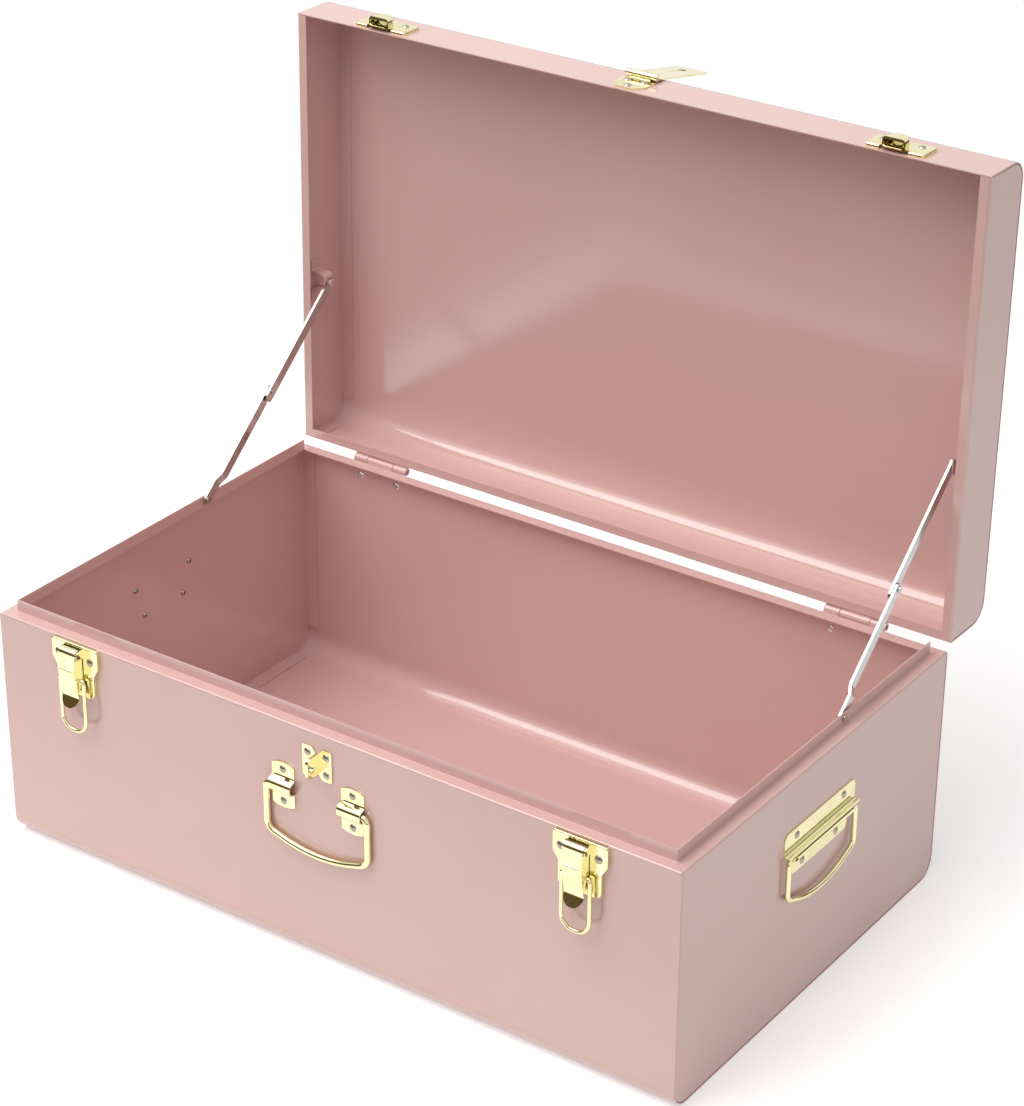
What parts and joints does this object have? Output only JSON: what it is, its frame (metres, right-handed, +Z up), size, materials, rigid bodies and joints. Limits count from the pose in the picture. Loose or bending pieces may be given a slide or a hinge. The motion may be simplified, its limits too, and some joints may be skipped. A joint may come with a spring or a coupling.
{
  "type": "metal storage trunk",
  "caption": "Painted steel trunk with a hinged lid on folding stays, wire draw latches, a padlock hasp and staple, and wire carry handles on the front and the ends.",
  "frame": {"origin": "centre of the trunk's underside, on the floor", "axes": "+X to the trunk's right-hand end, +Y to the back where the hinges are, +Z up; front at -Y"},
  "size_m": [0.6136, 0.4807, 0.567],
  "materials": {
    "pink_paint": "satin gloss paint",
    "gold_hardware": "bright pale gold plating",
    "zinc_stays": "zinc plated",
    "steel_rivets": "bright plated",
    "steel_pins": "bare steel"
  },
  "bodies": {
    "base": {"base_wrap": "pink_paint", "base_end_left": "pink_paint", "base_end_right": "pink_paint", "hinge_base_leaf_left": "pink_paint", "hinge_base_leaf_right": "pink_paint", "hinge_pin_left": "steel_pins", "hinge_pin_right": "steel_pins", "hinge_rivets": "steel_rivets", "latch_plate_left": "gold_hardware", "latch_plate_right": "gold_hardware", "latch_pin_left": "steel_pins", "latch_pin_right": "steel_pins", "latch_rivets": "steel_rivets", "padlock_staple": "gold_hardware", "staple_rivets": "steel_rivets", "handle_clip_left": "gold_hardware", "handle_clip_right": "gold_hardware", "handle_clip_rivets": "steel_rivets", "side_handle_plate_left": "gold_hardware", "side_handle_plate_right": "gold_hardware", "side_handle_rivets_left": "steel_rivets", "side_handle_rivets_right": "steel_rivets", "stay_base_rivet_left": "steel_rivets", "stay_base_rivet_right": "steel_rivets"},
    "lid": {"lid_wrap": "pink_paint", "lid_end_left": "pink_paint", "lid_end_right": "pink_paint", "hinge_lid_leaf_left": "pink_paint", "hinge_lid_leaf_right": "pink_paint", "strike_left": "gold_hardware", "strike_right": "gold_hardware", "strike_rivets": "steel_rivets", "hasp_plate": "gold_hardware", "hasp_pin": "steel_pins", "hasp_rivets": "steel_rivets", "stay_bracket_left": "pink_paint", "stay_bracket_right": "pink_paint", "stay_lid_rivet_left": "steel_rivets", "stay_lid_rivet_right": "steel_rivets"},
    "hasp_strap": {"hasp_strap": "gold_hardware"},
    "front_handle": {"front_handle_bail": "gold_hardware"},
    "latch_lever_left": {"latch_lever_left": "gold_hardware"},
    "latch_loop_left": {"latch_loop_left": "gold_hardware"},
    "side_handle_left": {"side_handle_bail_left": "gold_hardware"},
    "stay_lower_left": {"stay_lower_left": "zinc_stays"},
    "stay_upper_left": {"stay_upper_left": "zinc_stays", "stay_elbow_rivet_left": "steel_rivets"},
    "latch_lever_right": {"latch_lever_right": "gold_hardware"},
    "latch_loop_right": {"latch_loop_right": "gold_hardware"},
    "side_handle_right": {"side_handle_bail_right": "gold_hardware"},
    "stay_lower_right": {"stay_lower_right": "zinc_stays"},
    "stay_upper_right": {"stay_upper_right": "zinc_stays", "stay_elbow_rivet_right": "steel_rivets"}
  },
  "joints": [
    {"name": "lid_hinge", "type": "hinge", "parent": "base", "child": "lid", "pos_m": [0, 0.1838, 0.1929], "axis": [1, 0, 0], "range_deg": [0, 90.8]},
    {"name": "hasp_hinge", "type": "hinge", "parent": "lid", "child": "hasp_strap", "pos_m": [0, 0.21593, 0.56029], "axis": [1, 0, 0], "range_deg": [0, 190.96]},
    {"name": "front_handle_swing", "type": "hinge", "parent": "base", "child": "front_handle", "pos_m": [0, -0.1831, 0.14], "axis": [1, 0, 0], "range_deg": [-165, 0]},
    {"name": "latch_lever_left_pivot", "type": "hinge", "parent": "base", "child": "latch_lever_left", "pos_m": [-0.223, -0.1884, 0.187], "axis": [-1, 0, 0], "range_deg": [0, 120]},
    {"name": "latch_loop_left_pivot", "type": "hinge", "parent": "latch_lever_left", "child": "latch_loop_left", "pos_m": [-0.223, -0.188, 0.1655], "axis": [1, 0, 0], "range_deg": [-180, 0]},
    {"name": "side_handle_left_swing", "type": "hinge", "parent": "base", "child": "side_handle_left", "pos_m": [-0.3035, 0, 0.131], "axis": [0, 1, 0], "range_deg": [0, 95]},
    {"name": "stay_lower_left_pivot", "type": "hinge", "parent": "base", "child": "stay_lower_left", "pos_m": [-0.2893, 0.045, 0.1972], "axis": [1, 0, 0], "range_deg": [-38.25, 0]},
    {"name": "stay_upper_left_pivot", "type": "hinge", "parent": "lid", "child": "stay_upper_left", "pos_m": [-0.2838, 0.19974, 0.33149], "axis": [1, 0, 0], "range_deg": [0, 45.54]},
    {"name": "latch_lever_right_pivot", "type": "hinge", "parent": "base", "child": "latch_lever_right", "pos_m": [0.223, -0.1884, 0.187], "axis": [-1, 0, 0], "range_deg": [0, 120]},
    {"name": "latch_loop_right_pivot", "type": "hinge", "parent": "latch_lever_right", "child": "latch_loop_right", "pos_m": [0.223, -0.188, 0.1655], "axis": [1, 0, 0], "range_deg": [-180, 0]},
    {"name": "side_handle_right_swing", "type": "hinge", "parent": "base", "child": "side_handle_right", "pos_m": [0.3035, 0, 0.131], "axis": [0, -1, 0], "range_deg": [0, 95]},
    {"name": "stay_lower_right_pivot", "type": "hinge", "parent": "base", "child": "stay_lower_right", "pos_m": [0.2893, 0.045, 0.1972], "axis": [1, 0, 0], "range_deg": [-38.25, 0]},
    {"name": "stay_upper_right_pivot", "type": "hinge", "parent": "lid", "child": "stay_upper_right", "pos_m": [0.2838, 0.19974, 0.33149], "axis": [1, 0, 0], "range_deg": [0, 45.54]}
  ],
  "couplings": [
    {"joint": "stay_lower_left_pivot", "follows": "lid_hinge", "ratio": -0.42115},
    {"joint": "stay_upper_left_pivot", "follows": "lid_hinge", "ratio": 0.50146},
    {"joint": "stay_lower_right_pivot", "follows": "lid_hinge", "ratio": -0.42115},
    {"joint": "stay_upper_right_pivot", "follows": "lid_hinge", "ratio": 0.50146}
  ]
}
